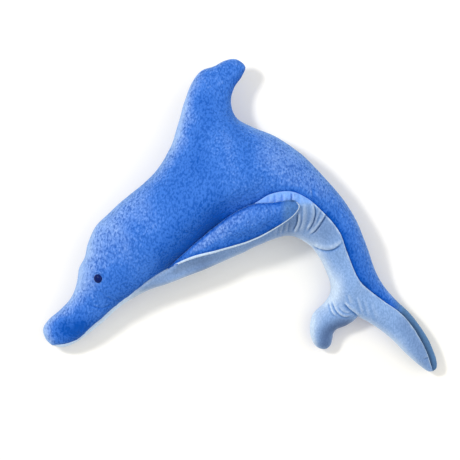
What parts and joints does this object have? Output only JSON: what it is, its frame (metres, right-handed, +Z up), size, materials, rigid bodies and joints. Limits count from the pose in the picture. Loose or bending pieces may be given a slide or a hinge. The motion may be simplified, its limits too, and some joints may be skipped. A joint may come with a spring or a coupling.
{
  "type": "plush dolphin",
  "caption": "Stuffed cloth dolphin lying on its side, curved as in a leap, with a dorsal fin, side flippers, spread flukes and a domed plastic eye on each side.",
  "frame": {"origin": "middle of the bounding box, on the surface the toy lies on", "axes": "+X from beak to tail, +Y from belly to back, +Z up from the side it lies on"},
  "size_m": [0.4174, 0.3294, 0.0839],
  "materials": {
    "blue_plush": "short nubby fleece",
    "pale_velour": "smooth short velour",
    "stuffing": "loose polyester fibre",
    "eye": "polished",
    "washer": "moulded"
  },
  "bodies": {
    "root": {"left_side_panel": "blue_plush", "right_side_panel": "blue_plush", "belly_panel": "pale_velour", "left_flipper_outer": "blue_plush", "left_flipper_inner": "pale_velour", "left_flipper_stuffing": "stuffing", "right_flipper_outer": "blue_plush", "right_flipper_inner": "pale_velour", "right_flipper_stuffing": "stuffing", "body_stuffing": "stuffing", "left_eye": "eye", "right_eye": "eye", "left_eye_washer": "washer", "right_eye_washer": "washer"}
  },
  "joints": []
}
